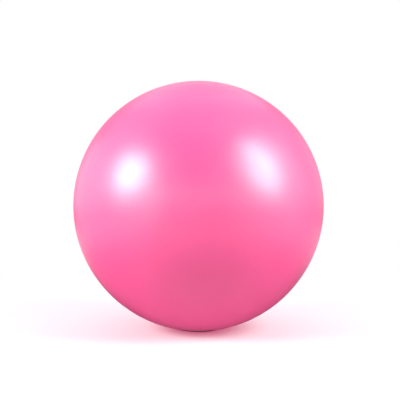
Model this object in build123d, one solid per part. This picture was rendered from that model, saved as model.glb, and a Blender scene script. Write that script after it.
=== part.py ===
from build123d import *

import os
from math import asin, degrees

# Small inflatable exercise ball, in millimetres.
#
# The ball is a thin hollow skin of soft PVC, cast in a two-part round mould. A moulded valve seat is
# bonded into an opening at one pole, and a push-in plug closes the seat's bore, its head lying in a
# recess just below the ball's surface.
#
# Frame: the origin is the ball's centre, +Z is up and +Y runs along the valve axis, out of the valve.
# The ball stands on the small flat that its own weight presses into the underside.

# Ball
BALL_D = 250.0  # nominal inflated diameter
WALL = 0.6  # skin thickness when inflated
REST_FLAT_DEPTH = 0.5  # how far the weight presses the underside flat

# Line that the two halves of the mould leave round the skin, in the plane through the centre
MOULD_LINE_W = 1.2
MOULD_LINE_H = 0.12

# Valve seat
COLLAR_R = 10.0  # also the radius of the opening in the skin
COLLAR_PROUD = 0.25  # the collar's rounded rim stands this far above the skin
RECESS_R = 7.9
RECESS_DEPTH = 2.8  # from the ball's crown down to the recess floor
FLANGE_R = 18.0  # bonding flange under the skin
FLANGE_T = 1.4
FLANGE_EDGE_T = 0.4
NECK_R = 6.0
NECK_TIP_R = 5.2
NECK_L = 17.0  # from the recess floor to the neck's inner end
BORE_R = 3.0
BORE_LEAD = 0.5  # chamfer at the bore's mouth

# Plug
HEAD_R = 6.8
HEAD_EDGE_T = 1.5
HEAD_CROWN = 0.5  # extra height in the middle of the domed head
HEAD_ROUND = 0.5  # radius of the rounded rim
HEAD_UNDERCUT = 0.6  # bevel under the rim, to lift the head with a fingernail
DIMPLE_R = 2.2
DIMPLE_DEPTH = 0.35
STEM_R = 2.45
STEM_L = 14.5
STEM_TAPER_L = 3.0
STEM_TIP_R = 1.5
RIB_R = 2.95  # sealing ribs, drawn just clear of the bore
RIB_ROOT_R = 1.2  # well inside the stem that the ribs are part of
RIB_W = 1.1
RIB_COUNT = 3
RIB_PITCH = 3.4
FIRST_RIB = 2.6  # from the head's underside to the middle of the first rib

# Worked out from the sizes above
OUTER_R = BALL_D / 2
INNER_R = OUTER_R - WALL
FLOOR_Z = -(OUTER_R - REST_FLAT_DEPTH)
RECESS_FLOOR = OUTER_R - RECESS_DEPTH

QUARTER_TURN = 90
HALF_TURN = 180
FULL_TURN = 360


def height_on(radius, r):
    """Height above the ball's centre, along the valve axis, of a sphere's surface at r from the axis."""
    return (radius**2 - r**2) ** 0.5


def lathe(*edges):
    """Turns a closed outline round the valve axis. X is the radius and Y runs along the axis."""
    return revolve(make_face(Curve() + list(edges)), Axis.Y, FULL_TURN)


def pressed_flat(solid, floor_z):
    """The part of a solid above the level floor_z."""
    side = 2 * BALL_D
    above = Box(side, side, side, align=(Align.CENTER, Align.CENTER, Align.MIN))
    return solid & (Pos(0, 0, floor_z) * above)


def outside():
    """The ball's outer shape: two half balls, with the mould line as a low rounded bead between them."""
    half = MOULD_LINE_W / 2
    foot = height_on(OUTER_R, half)
    foot_angle = degrees(asin(half / OUTER_R))
    half_ball = QUARTER_TURN - foot_angle
    ball = lathe(
        CenterArc((0, 0), OUTER_R, -QUARTER_TURN, half_ball),
        ThreePointArc((foot, -half), (OUTER_R + MOULD_LINE_H, 0), (foot, half)),
        CenterArc((0, 0), OUTER_R, foot_angle, half_ball),
        Line((0, OUTER_R), (0, -OUTER_R)),
    )
    return pressed_flat(ball, FLOOR_Z)


def inside():
    """The space that holds the air."""
    ball = lathe(
        CenterArc((0, 0), INNER_R, -QUARTER_TURN, HALF_TURN),
        Line((0, INNER_R), (0, -INNER_R)),
    )
    return pressed_flat(ball, FLOOR_Z + WALL)


def ball_skin():
    """Hollow skin of even thickness, with the mould line outside and the valve opening at the +Y pole."""
    below_skin = OUTER_R - RECESS_DEPTH
    above_skin = OUTER_R + RECESS_DEPTH
    opening = lathe(
        Polyline(
            (0, below_skin),
            (COLLAR_R, below_skin),
            (COLLAR_R, above_skin),
            (0, above_skin),
            close=True,
        )
    )
    return outside() - inside() - opening


def valve_seat():
    """Collar flush in the skin, recess for the plug's head, flange bonded under the skin, and bored neck."""
    neck_end = RECESS_FLOOR - NECK_L
    rim_inner = height_on(OUTER_R, RECESS_R)
    rim_mid_r = (RECESS_R + COLLAR_R) / 2
    rim_top = height_on(OUTER_R, rim_mid_r) + COLLAR_PROUD
    skin_top = height_on(OUTER_R, COLLAR_R)
    skin_under = height_on(INNER_R, COLLAR_R)
    flange_mid_r = (COLLAR_R + FLANGE_R) / 2
    flange_mid = height_on(INNER_R, flange_mid_r)
    flange_edge = height_on(INNER_R, FLANGE_R)
    bore_and_recess = Polyline(
        (BORE_R, neck_end),
        (BORE_R, RECESS_FLOOR - BORE_LEAD),
        (BORE_R + BORE_LEAD, RECESS_FLOOR),
        (RECESS_R, RECESS_FLOOR),
        (RECESS_R, rim_inner),
    )
    rim = ThreePointArc((RECESS_R, rim_inner), (rim_mid_r, rim_top), (COLLAR_R, skin_top))
    collar_side = Line((COLLAR_R, skin_top), (COLLAR_R, skin_under))
    bonded_face = ThreePointArc(
        (COLLAR_R, skin_under), (flange_mid_r, flange_mid), (FLANGE_R, flange_edge)
    )
    flange_and_neck = Polyline(
        (FLANGE_R, flange_edge),
        (FLANGE_R, flange_edge - FLANGE_EDGE_T),
        (NECK_R, RECESS_FLOOR - FLANGE_T),
        (NECK_TIP_R, neck_end),
        (BORE_R, neck_end),
    )
    return lathe(bore_and_recess, rim, collar_side, bonded_face, flange_and_neck)


def plug_head():
    """Low domed head with a rounded rim, an undercut below it and a shallow dimple in the middle."""
    under = RECESS_FLOOR
    edge_top = under + HEAD_EDGE_T
    crown = edge_top + HEAD_CROWN
    dome_r = HEAD_R - HEAD_ROUND
    rim_middle = edge_top - HEAD_ROUND
    dome = TangentArc((0, crown), (dome_r, edge_top), tangent=(1, 0))
    rim = CenterArc((dome_r, rim_middle), HEAD_ROUND, 0, QUARTER_TURN)
    sides = Polyline(
        (HEAD_R, rim_middle),
        (HEAD_R, under + HEAD_UNDERCUT),
        (HEAD_R - HEAD_UNDERCUT, under),
        (0, under),
        (0, crown),
    )
    finger_r = (DIMPLE_R**2 + DIMPLE_DEPTH**2) / (2 * DIMPLE_DEPTH)
    dimple = Pos(0, crown - DIMPLE_DEPTH + finger_r, 0) * Sphere(finger_r)
    return lathe(dome, rim, sides) - dimple


def sealing_rib(middle):
    """One rounded rib round the stem, at the height middle."""
    top = middle + RIB_W / 2
    bottom = middle - RIB_W / 2
    return lathe(
        ThreePointArc((STEM_R, bottom), (RIB_R, middle), (STEM_R, top)),
        Polyline((STEM_R, top), (RIB_ROOT_R, top), (RIB_ROOT_R, bottom), (STEM_R, bottom)),
    )


def plug_stem():
    """Round stem with a tapered tip and rounded sealing ribs."""
    top = RECESS_FLOOR
    tip = top - STEM_L
    stem = lathe(
        Polyline(
            (0, top), (STEM_R, top), (STEM_R, tip + STEM_TAPER_L), (STEM_TIP_R, tip), (0, tip), close=True
        )
    )
    for i in range(RIB_COUNT):
        stem += sealing_rib(top - FIRST_RIB - i * RIB_PITCH)
    return stem


def valve_plug():
    return plug_head() + plug_stem()


NODES = {
    "ball_skin": ball_skin,
    "valve_seat": valve_seat,
    "valve_plug": valve_plug,
}

os.makedirs("parts", exist_ok=True)
for node, build in NODES.items():
    export_step(build(), f"parts/{node}.step")
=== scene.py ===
from math import asin, atan2, cos, pi, radians, sin, sqrt, tan

import bmesh
import bpy
import numpy as np
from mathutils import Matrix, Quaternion, Vector


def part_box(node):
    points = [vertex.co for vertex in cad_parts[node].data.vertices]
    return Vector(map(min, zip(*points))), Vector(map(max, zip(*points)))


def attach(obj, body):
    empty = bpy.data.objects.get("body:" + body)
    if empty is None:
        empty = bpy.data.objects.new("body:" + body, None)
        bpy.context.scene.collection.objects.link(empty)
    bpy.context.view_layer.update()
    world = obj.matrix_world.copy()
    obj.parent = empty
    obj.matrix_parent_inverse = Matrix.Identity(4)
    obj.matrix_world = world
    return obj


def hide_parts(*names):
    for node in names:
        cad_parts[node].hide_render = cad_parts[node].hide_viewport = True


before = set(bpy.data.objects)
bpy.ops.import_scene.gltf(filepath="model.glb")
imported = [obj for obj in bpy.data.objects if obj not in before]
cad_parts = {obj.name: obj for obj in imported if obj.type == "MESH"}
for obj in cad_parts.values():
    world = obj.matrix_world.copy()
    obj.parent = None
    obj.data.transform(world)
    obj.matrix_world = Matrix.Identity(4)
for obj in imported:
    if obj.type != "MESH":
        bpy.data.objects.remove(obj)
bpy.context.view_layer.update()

# A small inflatable exercise ball: its thin pearl-finish skin, the valve seat bonded into it and the
# push-in plug. Metres, in the frame of the CAD model: the ball's centre is the origin, +Z is up and +Y is
# the valve axis.

MM = 0.001

# ---------------------------------------------------------------- sizes from the frame

skin_low, skin_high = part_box("ball_skin")
seat_low, seat_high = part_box("valve_seat")
plug_low, plug_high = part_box("valve_plug")

OUTER_R = -skin_low.y
FLOOR_Z = skin_low.z
BEAD_H = skin_high.x - OUTER_R
COLLAR_R = sqrt(OUTER_R**2 - skin_high.y**2)
FLANGE_R = seat_high.x
HEAD_R = plug_high.x
CROWN_Y = plug_high.y
STEM_END_Y = plug_low.y
NECK_END_Y = seat_low.y

# ---------------------------------------------------------------- sizes too small to read off a box

WALL = 0.6 * MM
INNER_R = OUTER_R - WALL
BEAD_W = 1.2 * MM
RECESS_DEPTH = 2.8 * MM
RECESS_FLOOR = OUTER_R - RECESS_DEPTH
RECESS_R = 7.9 * MM
COLLAR_RISE = 0.2 * MM
BORE_R = 3.0 * MM
BORE_LEAD = 0.5 * MM
FLANGE_T = 1.4 * MM
FLANGE_EDGE_T = 0.4 * MM
NECK_R = 6.0 * MM
NECK_TIP_R = 5.2 * MM
HEAD_EDGE_T = 1.5 * MM
HEAD_ROUND = 0.5 * MM
HEAD_UNDERCUT = 0.6 * MM
DIMPLE_R = 2.2 * MM
DIMPLE_DEPTH = 0.35 * MM
STEM_R = 2.45 * MM
STEM_TIP_R = 1.5 * MM
STEM_TAPER_L = 3.0 * MM
RIB_R = 2.95 * MM
RIB_W = 1.1 * MM
RIB_COUNT = 3
RIB_PITCH = 3.4 * MM
FIRST_RIB = 2.6 * MM

# ---------------------------------------------------------------- mesh helpers


def height_on(radius, r):
    """Height along the valve axis of a sphere's surface at r from the axis."""
    return sqrt(radius**2 - r**2)


def unit(v):
    return v / np.linalg.norm(v)


SUPPORT_SHARE = 1 / 3  # how far past a fillet its support points lie, as a share of its radius


def fillet(before, corner, after, radius, steps):
    """Points of the arc that rounds a corner, with a support point on each straight side of it."""
    to_before = unit(before - corner)
    to_after = unit(after - corner)
    half_angle = np.arccos(np.clip(to_before @ to_after, -1, 1)) / 2
    reach = radius / tan(half_angle)
    start = corner + to_before * reach
    end = corner + to_after * reach
    middle = corner + unit(to_before + to_after) * radius / sin(half_angle)
    from_angle = atan2(*(start - middle)[::-1])
    turn = atan2(*(end - middle)[::-1]) - from_angle
    turn = (turn + pi) % (2 * pi) - pi
    arc = [
        middle + radius * np.array((cos(from_angle + turn * k / steps), sin(from_angle + turn * k / steps)))
        for k in range(steps + 1)
    ]
    support = radius * SUPPORT_SHARE
    return [start + to_before * support, *arc, end + to_after * support]


def rounded(corners, steps=6):
    """Outline points from corners of (r, y, fillet radius). A radius of 0 keeps a corner sharp."""
    places = [np.array(c[:2], float) for c in corners]
    points = []
    for i, (r, y, radius) in enumerate(corners):
        if radius == 0:
            points.append(places[i])
        else:
            following = places[(i + 1) % len(places)]
            points += fillet(places[i - 1], places[i], following, radius, steps)
    return points


def turned(profile, segments, closed=True):
    """Vertices and quads of an outline of (r, y) points turned round the valve axis."""
    around = np.arange(segments) * 2 * pi / segments
    rings = [np.c_[r * np.cos(around), np.full(segments, y), r * np.sin(around)] for r, y in profile]
    count = len(profile)
    faces = []
    for i in range(count if closed else count - 1):
        this, following = i * segments, (i + 1) % count * segments
        for j in range(segments):
            k = (j + 1) % segments
            faces.append((this + j, this + k, following + k, following + j))
    return np.vstack(rings), faces


MERGE_GAP = 0.001 * MM


def new_piece(name, points, faces):
    """A smooth-shaded object whose coincident points are merged and whose normals point outward."""
    mesh = bpy.data.meshes.new(name)
    mesh.from_pydata([tuple(p) for p in points], [], faces)
    form = bmesh.new()
    form.from_mesh(mesh)
    bmesh.ops.remove_doubles(form, verts=form.verts, dist=MERGE_GAP)
    bmesh.ops.recalc_face_normals(form, faces=form.faces)
    form.to_mesh(mesh)
    form.free()
    mesh.polygons.foreach_set("use_smooth", [True] * len(mesh.polygons))
    piece = bpy.data.objects.new(name, mesh)
    bpy.context.scene.collection.objects.link(piece)
    return piece


# ---------------------------------------------------------------- the ball's skin

SEGMENTS = 320
RING_STEP = 2 * pi / SEGMENTS
CELLS = SEGMENTS // 4  # cells along each side of the grid that closes the front
CAP_ANGLE = radians(45)  # how far the grid reaches from the front pole
INNER_STEP = 3  # the inner surface is hidden, so it takes every third ring
BEAD_ANGLE = BEAD_W / 2 / OUTER_R  # half the mould line's width
BEAD_RINGS = 17
VALVE_RINGS = 24
LIP_ROUND = 0.22 * MM  # rounding of the skin's cut edge round the valve
LIP_STEPS = 5
GHOST_H = 0.12 * MM  # how far the flange bonded underneath shows through the skin
GHOST_FADE = 2.0 * MM
WAVE_H = 0.022 * MM  # height of the broadest of the waves in the skin
WAVE_COUNT = 9
WAVE_FADE = 0.25  # how fast the finer waves get lower
BROADEST = 9  # phase the broadest wave runs through over one ball radius, in radians
FINER_BY = 2.3  # how much more each next wave runs through
PHASE_STEP = 1.7  # and how far it starts ahead
PRESS_SOFTNESS = 0.12 * MM  # rounding round the edge of the flat it rests on
STILL_R = 12 * MM  # the skin has no waves this close to the valve's axis
STILL_FADE = 24 * MM


def smooth_step(x):
    x = np.clip(x, 0, 1)
    return x * x * (3 - 2 * x)


def front_grid(radius):
    """A square grid drawn into a round cap, from the front pole to CAP_ANGLE, so that nothing pinches."""
    side = np.linspace(-1, 1, CELLS + 1)
    u, v = np.meshgrid(side, side, indexing="ij")
    wide = np.abs(u) >= np.abs(v)
    major = np.where(wide, u, v)
    minor = np.where(wide, v, u)
    share = np.divide(minor, major, out=np.zeros_like(u), where=major != 0)
    turn = np.where(wide, share, 2 - share) * pi / 4
    polar = major * CAP_ANGLE
    x = radius * np.sin(polar) * np.cos(turn)
    z = radius * np.sin(polar) * np.sin(turn)
    y = -radius * np.cos(polar)
    points = np.stack((x, y, z), axis=-1).reshape(-1, 3)
    row = CELLS + 1
    faces = [
        (i * row + j, (i + 1) * row + j, (i + 1) * row + j + 1, i * row + j + 1)
        for i in range(CELLS)
        for j in range(CELLS)
    ]
    return points, faces


def outer_profile():
    """Outer surface from the front grid's edge, over the mould line, to the rounded lip round the valve."""
    ghost_angle = asin((FLANGE_R + GHOST_FADE) / OUTER_R)
    lip_angle = asin((COLLAR_R + LIP_ROUND) / OUTER_R)
    front = np.arange(CAP_ANGLE, pi / 2 - 3 * BEAD_ANGLE, RING_STEP)
    line = pi / 2 + np.linspace(-2, 2, BEAD_RINGS) * BEAD_ANGLE
    back = np.arange(pi / 2 + 4 * BEAD_ANGLE, pi - ghost_angle, RING_STEP)
    valve = np.linspace(pi - ghost_angle, pi - lip_angle, VALVE_RINGS)
    points = []
    for polar in np.concatenate((front, line, back, valve)):
        off_line = min(abs(polar - pi / 2) / BEAD_ANGLE, 1)
        radius = OUTER_R + BEAD_H * cos(off_line * pi / 2) ** 2
        from_axis = radius * sin(polar)
        if polar > pi / 2:
            inside_flange = smooth_step((FLANGE_R + GHOST_FADE / 2 - from_axis) / GHOST_FADE)
            clear_of_lip = smooth_step((from_axis - COLLAR_R) / GHOST_FADE)
            radius += GHOST_H * inside_flange * clear_of_lip
        points.append((radius * sin(polar), -radius * cos(polar)))
    return points


def lip():
    """Rounded cut edge of the skin in the valve opening, from outside to inside."""
    top = height_on(OUTER_R, COLLAR_R + LIP_ROUND)
    under = height_on(INNER_R, COLLAR_R)
    arc = [
        (COLLAR_R + LIP_ROUND * (1 - sin(t)), top - LIP_ROUND * (1 - cos(t)))
        for t in np.linspace(0, pi / 2, LIP_STEPS + 1)[1:]
    ]
    return [*arc, (COLLAR_R, under)]


def undulation(directions):
    """Slow in and out wandering of a thin inflated skin, as a length for each unit direction."""
    height = np.zeros(len(directions))
    golden = pi * (3 - sqrt(5))
    for i in range(WAVE_COUNT):
        up = 1 - 2 * (i + 0.5) / WAVE_COUNT
        flat = sqrt(1 - up**2)
        axis = np.array((flat * cos(golden * i), flat * sin(golden * i), up))
        wave = np.sin(directions @ axis * (BROADEST + FINER_BY * i) + PHASE_STEP * i)
        height += wave * WAVE_H / (1 + WAVE_FADE * i)
    return height


def pressed(points, floor_z):
    """Points below floor_z are brought up to it, with a small rounding round the edge of the flat."""
    depth = (points[:, 2] - floor_z) / PRESS_SOFTNESS
    lifted = points.copy()
    lifted[:, 2] = floor_z + PRESS_SOFTNESS * np.logaddexp(0, depth)
    lower = points[:, 2] < 0
    return np.where(lower[:, None], lifted, points)


def shaped(points, floor_z):
    """Adds what handling and air pressure do to the moulded shape."""
    directions = points / np.linalg.norm(points, axis=1)[:, None]
    off_axis = np.hypot(points[:, 0], points[:, 2])
    free = np.where(points[:, 1] > 0, smooth_step((off_axis - STILL_R) / STILL_FADE), 1)
    return pressed(points + directions * (undulation(directions) * free)[:, None], floor_z)


def build_skin():
    """One closed mesh: outer surface, lip and inner surface, each surface closed by a grid at the front."""
    lip_angle = pi - asin(COLLAR_R / INNER_R)
    inner_rings = int((lip_angle - CAP_ANGLE) / (RING_STEP * INNER_STEP))
    inner_angles = np.linspace(lip_angle, CAP_ANGLE, inner_rings)[1:]
    inner = [(INNER_R * sin(a), -INNER_R * cos(a)) for a in inner_angles]
    outer = outer_profile()
    round_part, faces = turned([*outer, *lip(), *inner], SEGMENTS, closed=False)
    outer_cap, cap_faces = front_grid(OUTER_R)
    inner_cap, _ = front_grid(INNER_R)
    outside = len(outer) * SEGMENTS
    points = (
        shaped(round_part[:outside], FLOOR_Z),
        shaped(round_part[outside:], FLOOR_Z + WALL),
        shaped(outer_cap, FLOOR_Z),
        shaped(inner_cap, FLOOR_Z + WALL),
    )
    for first in (len(round_part), len(round_part) + len(outer_cap)):
        faces += [tuple(first + i for i in face) for face in cap_faces]
    return new_piece("ball_skin_soft", np.vstack(points), faces)


# ---------------------------------------------------------------- the valve seat

SMALL_SEGMENTS = 96
FIT_GAP = 0.03 * MM
BORE_END_ROUND = 0.4 * MM
LEAD_ROUND = 0.3 * MM
LEAD_RIM_ROUND = 0.25 * MM
RECESS_ROUND = 0.6 * MM
RIM_INNER_ROUND = 0.55 * MM
RIM_OUTER_ROUND = 0.4 * MM
FLANGE_ROUND = 0.15 * MM
NECK_ROOT_ROUND = 1.0 * MM


def build_seat():
    rim_inner = height_on(OUTER_R, RECESS_R) + COLLAR_RISE
    rim_outer = height_on(OUTER_R, COLLAR_R) + COLLAR_RISE
    under = height_on(INNER_R, COLLAR_R) - FIT_GAP
    flange_mid_r = (COLLAR_R + FLANGE_R) / 2
    edge = height_on(INNER_R, FLANGE_R) - FIT_GAP
    corners = [
        (BORE_R, NECK_END_Y, BORE_END_ROUND),
        (BORE_R, RECESS_FLOOR - BORE_LEAD, LEAD_ROUND),
        (BORE_R + BORE_LEAD, RECESS_FLOOR, LEAD_RIM_ROUND),
        (RECESS_R, RECESS_FLOOR, RECESS_ROUND),
        (RECESS_R, rim_inner, RIM_INNER_ROUND),
        (COLLAR_R - FIT_GAP, rim_outer, RIM_OUTER_ROUND),
        (COLLAR_R - FIT_GAP, under, 0),
        (flange_mid_r, height_on(INNER_R, flange_mid_r) - FIT_GAP, 0),
        (FLANGE_R, edge, FLANGE_ROUND),
        (FLANGE_R, edge - FLANGE_EDGE_T, FLANGE_ROUND),
        (NECK_R, RECESS_FLOOR - FLANGE_T, NECK_ROOT_ROUND),
        (NECK_TIP_R, NECK_END_Y, BORE_END_ROUND),
    ]
    points, faces = turned(rounded(corners), SMALL_SEGMENTS)
    return new_piece("valve_seat_moulded", points, faces)


# ---------------------------------------------------------------- the plug

RIB_STEPS = 8
CROWN_STEPS = 6
DIMPLE_RIM_ROUND = 0.3 * MM
UNDERCUT_ROUND = 0.2 * MM
HEAD_FOOT_ROUND = 0.15 * MM
STEM_ROOT_ROUND = 0.3 * MM
TAPER_ROUND = 0.6 * MM
TIP_ROUND = 0.5 * MM


def rib(middle):
    """Outline points of one rounded sealing rib, from its upper foot to its lower foot."""
    points = []
    for k in range(RIB_STEPS + 1):
        t = pi * k / RIB_STEPS
        points.append((STEM_R + (RIB_R - STEM_R) * sin(t), middle + RIB_W / 2 * cos(t), 0))
    return points


def crown(edge_top):
    """Corners of the head's top, from the middle of the dimple to just short of the head's edge."""
    rise = CROWN_Y - edge_top
    floor_y = CROWN_Y - DIMPLE_DEPTH
    reach = HEAD_R - HEAD_ROUND - DIMPLE_R
    corners = [(0, floor_y, 0)]
    for k in range(1, CROWN_STEPS):
        r = DIMPLE_R * k / CROWN_STEPS
        corners.append((r, floor_y + DIMPLE_DEPTH * (r / DIMPLE_R) ** 2, 0))
    corners.append((DIMPLE_R, CROWN_Y - rise * (DIMPLE_R / HEAD_R) ** 2, DIMPLE_RIM_ROUND))
    for k in range(1, CROWN_STEPS):
        r = DIMPLE_R + reach * k / CROWN_STEPS
        corners.append((r, CROWN_Y - rise * (r / HEAD_R) ** 2, 0))
    return corners


def build_plug():
    under = RECESS_FLOOR
    edge_top = under + HEAD_EDGE_T
    corners = crown(edge_top)
    corners += [
        (HEAD_R, edge_top, HEAD_ROUND),
        (HEAD_R, under + HEAD_UNDERCUT, UNDERCUT_ROUND),
        (HEAD_R - HEAD_UNDERCUT, under, HEAD_FOOT_ROUND),
        (STEM_R, under, STEM_ROOT_ROUND),
    ]
    for i in range(RIB_COUNT):
        corners += rib(under - FIRST_RIB - i * RIB_PITCH)
    corners += [
        (STEM_R, STEM_END_Y + STEM_TAPER_L, TAPER_ROUND),
        (STEM_TIP_R, STEM_END_Y, TIP_ROUND),
        (0, STEM_END_Y, 0),
    ]
    points, faces = turned(rounded(corners), SMALL_SEGMENTS, closed=False)
    return new_piece("valve_plug_moulded", points, faces)


# ---------------------------------------------------------------- materials


def material(name):
    """A new node material: its node tree, its Principled shader and its texture coordinates in metres."""
    made = bpy.data.materials.new(name)
    made.use_nodes = True
    nodes = made.node_tree.nodes
    shader = nodes["Principled BSDF"]
    place = nodes.new("ShaderNodeTexCoord")
    return made, made.node_tree, shader, place.outputs["Object"]


def noise(tree, place, size, detail=2.0, roughness=0.5):
    """Noise whose lumps are about size metres across. Returns its value socket."""
    node = tree.nodes.new("ShaderNodeTexNoise")
    node.inputs["Scale"].default_value = 1 / size
    node.inputs["Detail"].default_value = detail
    node.inputs["Roughness"].default_value = roughness
    tree.links.new(place, node.inputs["Vector"])
    return node.outputs["Fac"]


def stretched(tree, value, from_low, from_high, to_low, to_high):
    """value, carried from one range to another and clamped."""
    node = tree.nodes.new("ShaderNodeMapRange")
    node.inputs["From Min"].default_value = from_low
    node.inputs["From Max"].default_value = from_high
    node.inputs["To Min"].default_value = to_low
    node.inputs["To Max"].default_value = to_high
    tree.links.new(value, node.inputs["Value"])
    return node.outputs["Result"]


def blended(tree, factor, first, second):
    """A colour between two colours, by a factor socket. A colour is a tuple or a socket."""
    node = tree.nodes.new("ShaderNodeMix")
    node.data_type = "RGBA"
    tree.links.new(factor, node.inputs["Factor"])
    for socket, colour in ((node.inputs["A"], first), (node.inputs["B"], second)):
        if isinstance(colour, tuple):
            socket.default_value = (*colour, 1)
        else:
            tree.links.new(colour, socket)
    return node.outputs["Result"]


def bumped(tree, shader, height, distance, strength):
    """Gives the shader and its coat a fine relief."""
    node = tree.nodes.new("ShaderNodeBump")
    node.inputs["Distance"].default_value = distance
    node.inputs["Strength"].default_value = strength
    tree.links.new(height, node.inputs["Height"])
    tree.links.new(node.outputs["Normal"], shader.inputs["Normal"])
    tree.links.new(node.outputs["Normal"], shader.inputs["Coat Normal"])


FIRM = (0.35, 0.65)  # the part of a noise's range that a firm change is stretched over
SOFT = (0.3, 0.7)  # and a softer one
PINK = (0.955, 0.047, 0.254)
PINK_DEEP = (0.93, 0.041, 0.240)
PINK_MILKY = (0.965, 0.055, 0.273)
PINK_PEARL = (0.975, 0.066, 0.291)
SEAT_PINK_DEEP = (0.78, 0.052, 0.19)
SEAT_PINK = (0.84, 0.068, 0.225)
IVORY_DEEP = (0.56, 0.53, 0.46)
IVORY = (0.64, 0.61, 0.54)


def skin_vinyl():
    """Soft PVC with a pearl finish: cloudy pigment, a fine grain, and a sheen that handling made uneven."""
    made, tree, shader, place = material("pearl_vinyl")
    clouds = stretched(tree, noise(tree, place, 45 * MM, detail=3), *FIRM, 0, 1)
    flow = stretched(tree, noise(tree, place, 7 * MM, detail=4, roughness=0.6), *SOFT, 0, 0.45)
    grain = stretched(tree, noise(tree, place, 1.6 * MM, detail=3, roughness=0.65), *SOFT, 0, 0.4)
    colour = blended(tree, clouds, PINK_DEEP, PINK)
    colour = blended(tree, flow, colour, PINK_MILKY)
    colour = blended(tree, grain, colour, PINK_PEARL)
    tree.links.new(colour, shader.inputs["Base Color"])
    handled = noise(tree, place, 26 * MM, detail=5, roughness=0.6)
    tree.links.new(stretched(tree, handled, *SOFT, 0.55, 0.65), shader.inputs["Roughness"])
    tree.links.new(stretched(tree, handled, *SOFT, 0.29, 0.35), shader.inputs["Coat Roughness"])
    shader.inputs["IOR"].default_value = 1.8
    shader.inputs["Coat Weight"].default_value = 1.0
    shader.inputs["Coat IOR"].default_value = 1.7
    relief = noise(tree, place, 1.2 * MM, detail=4, roughness=0.65)
    bumped(tree, shader, relief, distance=0.10 * MM, strength=0.7)
    return made


def seat_vinyl():
    """The seat's harder, deeper pink vinyl, with faint mould texture."""
    made, tree, shader, place = material("seat_vinyl")
    clouds = stretched(tree, noise(tree, place, 5 * MM, detail=3), *FIRM, 0, 1)
    tree.links.new(blended(tree, clouds, SEAT_PINK_DEEP, SEAT_PINK), shader.inputs["Base Color"])
    worn = noise(tree, place, 3 * MM, detail=4)
    tree.links.new(stretched(tree, worn, *SOFT, 0.26, 0.4), shader.inputs["Roughness"])
    bumped(tree, shader, noise(tree, place, 0.3 * MM), distance=0.01 * MM, strength=0.6)
    return made


def plug_plastic():
    """Ivory polythene that lets a little light in."""
    made, tree, shader, place = material("plug_polythene")
    clouds = stretched(tree, noise(tree, place, 4 * MM, detail=3), *FIRM, 0, 1)
    tree.links.new(blended(tree, clouds, IVORY_DEEP, IVORY), shader.inputs["Base Color"])
    worn = noise(tree, place, 1.5 * MM, detail=4)
    tree.links.new(stretched(tree, worn, *SOFT, 0.34, 0.5), shader.inputs["Roughness"])
    shader.inputs["Subsurface Weight"].default_value = 0.15
    shader.inputs["Subsurface Radius"].default_value = (1.0, 0.9, 0.75)
    shader.inputs["Subsurface Scale"].default_value = 1.0 * MM
    bumped(tree, shader, noise(tree, place, 0.25 * MM), distance=0.01 * MM, strength=0.6)
    return made


# ---------------------------------------------------------------- put the pieces on the frame


def mount_piece(piece, body, node, surface):
    """Puts a piece on its body, in place of the CAD node it stands for."""
    piece.data.materials.append(surface)
    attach(piece, body)
    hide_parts(node)


mount_piece(build_skin(), "ball", "ball_skin", skin_vinyl())
mount_piece(build_seat(), "ball", "valve_seat", seat_vinyl())
mount_piece(build_plug(), "plug", "valve_plug", plug_plastic())

# ---------------------------------------------------------------- studio

FLOOR_REACH = 3.0
FLOOR_SIDES = 96
NEAR_FLOOR = 0.35  # the floor is matt card out to here, and from FAR_FLOOR on it is an even white glow
FAR_FLOOR = 1.2
NEAR_SEEN = 0.26  # the same two distances as the camera sees them
FAR_SEEN = 0.52
NEAR_MIRRORED = 0.15  # the skin mirrors nothing of the floor out to here, and MIRROR_SHARE from the next on
FAR_MIRRORED = 0.53
MIRROR_SHARE = 0.70
FLOOR_SEEN = 0.82  # how pale the card is to the camera
FLOOR_BOUNCE = 0.24  # and how much of the light that falls on it goes back up
FAR_GLOW = 0.14  # strength of the far floor's glow, except to the camera
ROOM_SEEN = 1.0
ROOM_LIGHT = 0.37
BAND_LIGHT = 0.12  # light from the darker band round the room
BAND_FROM = (0.30, 0.55)  # heights between which the band begins, for a direction's unit vector
BAND_TO = (0.75, 0.95)  # and between which it ends


def ray_kind(tree, kind):
    """1 for a ray of this kind, such as Is Camera Ray, and 0 for any other."""
    return tree.nodes.new("ShaderNodeLightPath").outputs[kind]


def grey(value):
    return (value, value, value)


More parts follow.
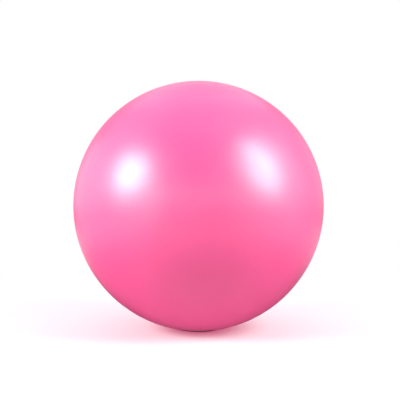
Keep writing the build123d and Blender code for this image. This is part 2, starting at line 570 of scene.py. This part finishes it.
def card_surface():
    """Matt card that turns into plain white with distance, each kind of ray with its own paleness."""
    made, tree, shader, place = material("floor_card")
    length = tree.nodes.new("ShaderNodeVectorMath")
    length.operation = "LENGTH"
    tree.links.new(place, length.inputs[0])
    outward = length.outputs["Value"]
    camera_ray = ray_kind(tree, "Is Camera Ray")
    mirrored = stretched(tree, outward, NEAR_MIRRORED, FAR_MIRRORED, 0, MIRROR_SHARE)
    bounce = blended(tree, ray_kind(tree, "Is Glossy Ray"), grey(FLOOR_BOUNCE), mirrored)
    tree.links.new(blended(tree, camera_ray, bounce, grey(FLOOR_SEEN)), shader.inputs["Base Color"])
    shader.inputs["Roughness"].default_value = 0.9
    shader.inputs["Specular IOR Level"].default_value = 0.0
    far_lit = stretched(tree, outward, NEAR_FLOOR, FAR_FLOOR, 0, 1)
    far_seen = stretched(tree, outward, NEAR_SEEN, FAR_SEEN, 0, 1)
    white = tree.nodes.new("ShaderNodeEmission")
    tree.links.new(stretched(tree, camera_ray, 0, 1, FAR_GLOW, ROOM_SEEN), white.inputs["Strength"])
    mixed = tree.nodes.new("ShaderNodeMixShader")
    tree.links.new(blended(tree, camera_ray, far_lit, far_seen), mixed.inputs["Fac"])
    tree.links.new(shader.outputs["BSDF"], mixed.inputs[1])
    tree.links.new(white.outputs["Emission"], mixed.inputs[2])
    tree.links.new(mixed.outputs["Shader"], tree.nodes["Material Output"].inputs["Surface"])
    return made


def build_floor():
    """A pale disc with no horizon, because its far part is as white as the room."""
    points, faces = turned([(0.0, 0.0), (FLOOR_REACH, 0.0)], FLOOR_SIDES, closed=False)
    points = points[:, [0, 2, 1]] + np.array((0, 0, FLOOR_Z))
    floor = new_piece("floor", points, faces)
    floor.data.materials.append(card_surface())


def light_room():
    """A white room that looks brighter than the light it sheds, with a darker band round it, higher up."""
    world = bpy.data.worlds.new("white_room")
    world.use_nodes = True
    tree = world.node_tree
    place = tree.nodes.new("ShaderNodeTexCoord")
    split = tree.nodes.new("ShaderNodeSeparateXYZ")
    tree.links.new(place.outputs["Generated"], split.inputs["Vector"])
    rise = split.outputs["Z"]
    band = tree.nodes.new("ShaderNodeMath")
    band.operation = "MAXIMUM"
    tree.links.new(stretched(tree, rise, *BAND_FROM, ROOM_LIGHT, BAND_LIGHT), band.inputs[0])
    tree.links.new(stretched(tree, rise, *BAND_TO, BAND_LIGHT, ROOM_LIGHT), band.inputs[1])
    strength = blended(tree, ray_kind(tree, "Is Camera Ray"), band.outputs["Value"], grey(ROOM_SEEN))
    background = tree.nodes["Background"]
    background.inputs["Color"].default_value = (1, 1, 1, 1)
    tree.links.new(strength, background.inputs["Strength"])
    bpy.context.scene.world = world


CAMERA_ELEVATION = 3  # degrees
LENS = 85.0  # millimetres, on a sensor 36 mm wide
BALL_SHARE = 0.626  # the ball's width as a share of the picture's
SHIFT_RIGHT = 0.0037  # the ball stands just off the picture's middle, by these shares of its width
SHIFT_UP = 0.0150


def direction(azimuth, elevation):
    """Unit vector from the ball, azimuth to the right of -Y and elevation above level, both in degrees."""
    turn, rise = radians(azimuth), radians(elevation)
    return Vector((sin(turn) * cos(rise), -cos(turn) * cos(rise), sin(rise)))


def place_camera():
    data = bpy.data.cameras.new("camera")
    data.lens = LENS
    data.shift_x = SHIFT_RIGHT
    data.shift_y = SHIFT_UP
    outline = BALL_SHARE * data.sensor_width / 2 / LENS
    distance = OUTER_R / sin(atan2(outline, 1))
    camera = bpy.data.objects.new("camera", data)
    back = direction(0, CAMERA_ELEVATION)
    camera.location = back * distance
    camera.rotation_mode = "QUATERNION"
    camera.rotation_quaternion = back.to_track_quat("Z", "Y")
    bpy.context.scene.collection.objects.link(camera)
    bpy.context.scene.camera = camera
    bpy.context.view_layer.update()
    return camera


LIGHT_DISTANCE = 1.2
GLOW_CLEARANCE = 1 * MM  # between the floor and the lights that shine up from it
WHITE = (1.0, 1.0, 1.0)
COOL_TINT = (0.92, 0.83, 1.0)  # of the boxes overhead, which give the upper side its cooler pink


def build_rig(camera):
    """An empty at the ball's centre. It turns with the camera about Z, so all sides are lit alike."""
    rig = bpy.data.objects.new("light_rig", None)
    bpy.context.scene.collection.objects.link(rig)
    follow = rig.constraints.new("COPY_ROTATION")
    follow.target = camera
    follow.use_x = False
    follow.use_y = False
    return rig


def area_light(name, toward, distance, width, height, power, roll=0):
    """An oval lamp the camera doesn't see, at a distance from the ball's centre and facing it."""
    data = bpy.data.lights.new(name, "AREA")
    data.shape = "ELLIPSE"
    data.size = width
    data.size_y = height
    data.energy = power
    lamp = bpy.data.objects.new(name, data)
    lamp.location = toward * distance
    lamp.rotation_mode = "QUATERNION"
    lamp.rotation_quaternion = toward.to_track_quat("Z", "Y") @ Quaternion((0, 0, 1), radians(roll))
    lamp.visible_camera = False
    bpy.context.scene.collection.objects.link(lamp)
    return lamp


def softbox(rig, name, azimuth, elevation, width, height, power, tint=WHITE, roll=0, mirrored=True):
    """A lamp carried by the rig. If it isn't mirrored, the skin shows its light and not its reflection."""
    toward = direction(azimuth, elevation)
    lamp = area_light(name, toward, LIGHT_DISTANCE, width, height, power, roll)
    lamp.data.color = tint
    lamp.visible_glossy = mirrored
    lamp.parent = rig


def underglow(name, width, power):
    """Light that comes up from the floor into the ball's underside, and that the skin doesn't mirror."""
    lamp = area_light(name, Vector((0, 0, -1)), -FLOOR_Z - GLOW_CLEARANCE, width, width, power)
    lamp.visible_glossy = False


light_room()
build_floor()
rig = build_rig(place_camera())

# The two keys make the highlights, each with a wide, weaker box round it for the soft edge. Angles are in
# degrees, widths and heights in metres, powers in watts.
softbox(rig, "left_key", -65.2, 24.6, 0.66, 0.56, 11.1)
softbox(rig, "left_wide", -67, 22, 0.90, 0.90, 4.6)
softbox(rig, "right_key", 63, 31.8, 0.52, 0.84, 9.75, roll=8)
softbox(rig, "right_wide", 65, 27, 0.90, 1.00, 4.7)
softbox(rig, "left_fill", -42, 8, 0.60, 0.60, 1.38)
softbox(rig, "right_fill", 42, 8, 0.60, 0.60, 0.42)
softbox(rig, "front_card", -2, 12.5, 1.70, 0.08, 1.02)
softbox(rig, "right_side", 85, 15, 1.00, 1.40, 2.93)
softbox(rig, "left_rim", -117, 6, 1.20, 1.00, 2.3)
softbox(rig, "right_rim", 130, 4, 1.00, 1.00, 0.6)
softbox(rig, "left_high", -120, 48, 1.20, 0.90, 1.6, COOL_TINT)
softbox(rig, "right_high", 123, 48, 1.20, 0.90, 1.38, COOL_TINT)
softbox(rig, "overhead", 0, 90, 1.20, 1.20, 1.4, COOL_TINT)
softbox(rig, "high_back", 180, 50, 1.20, 1.20, 2.5, COOL_TINT)
softbox(rig, "low_fill", 0, 1, 0.60, 0.20, 1.0, mirrored=False)
softbox(rig, "back_fill", 180, 12, 1.00, 0.60, 3.0, mirrored=False)
underglow("foot_glow", 0.30, 0.208)
underglow("floor_glow", 0.56, 0.265)
bpy.context.scene.view_settings.view_transform = "Standard"
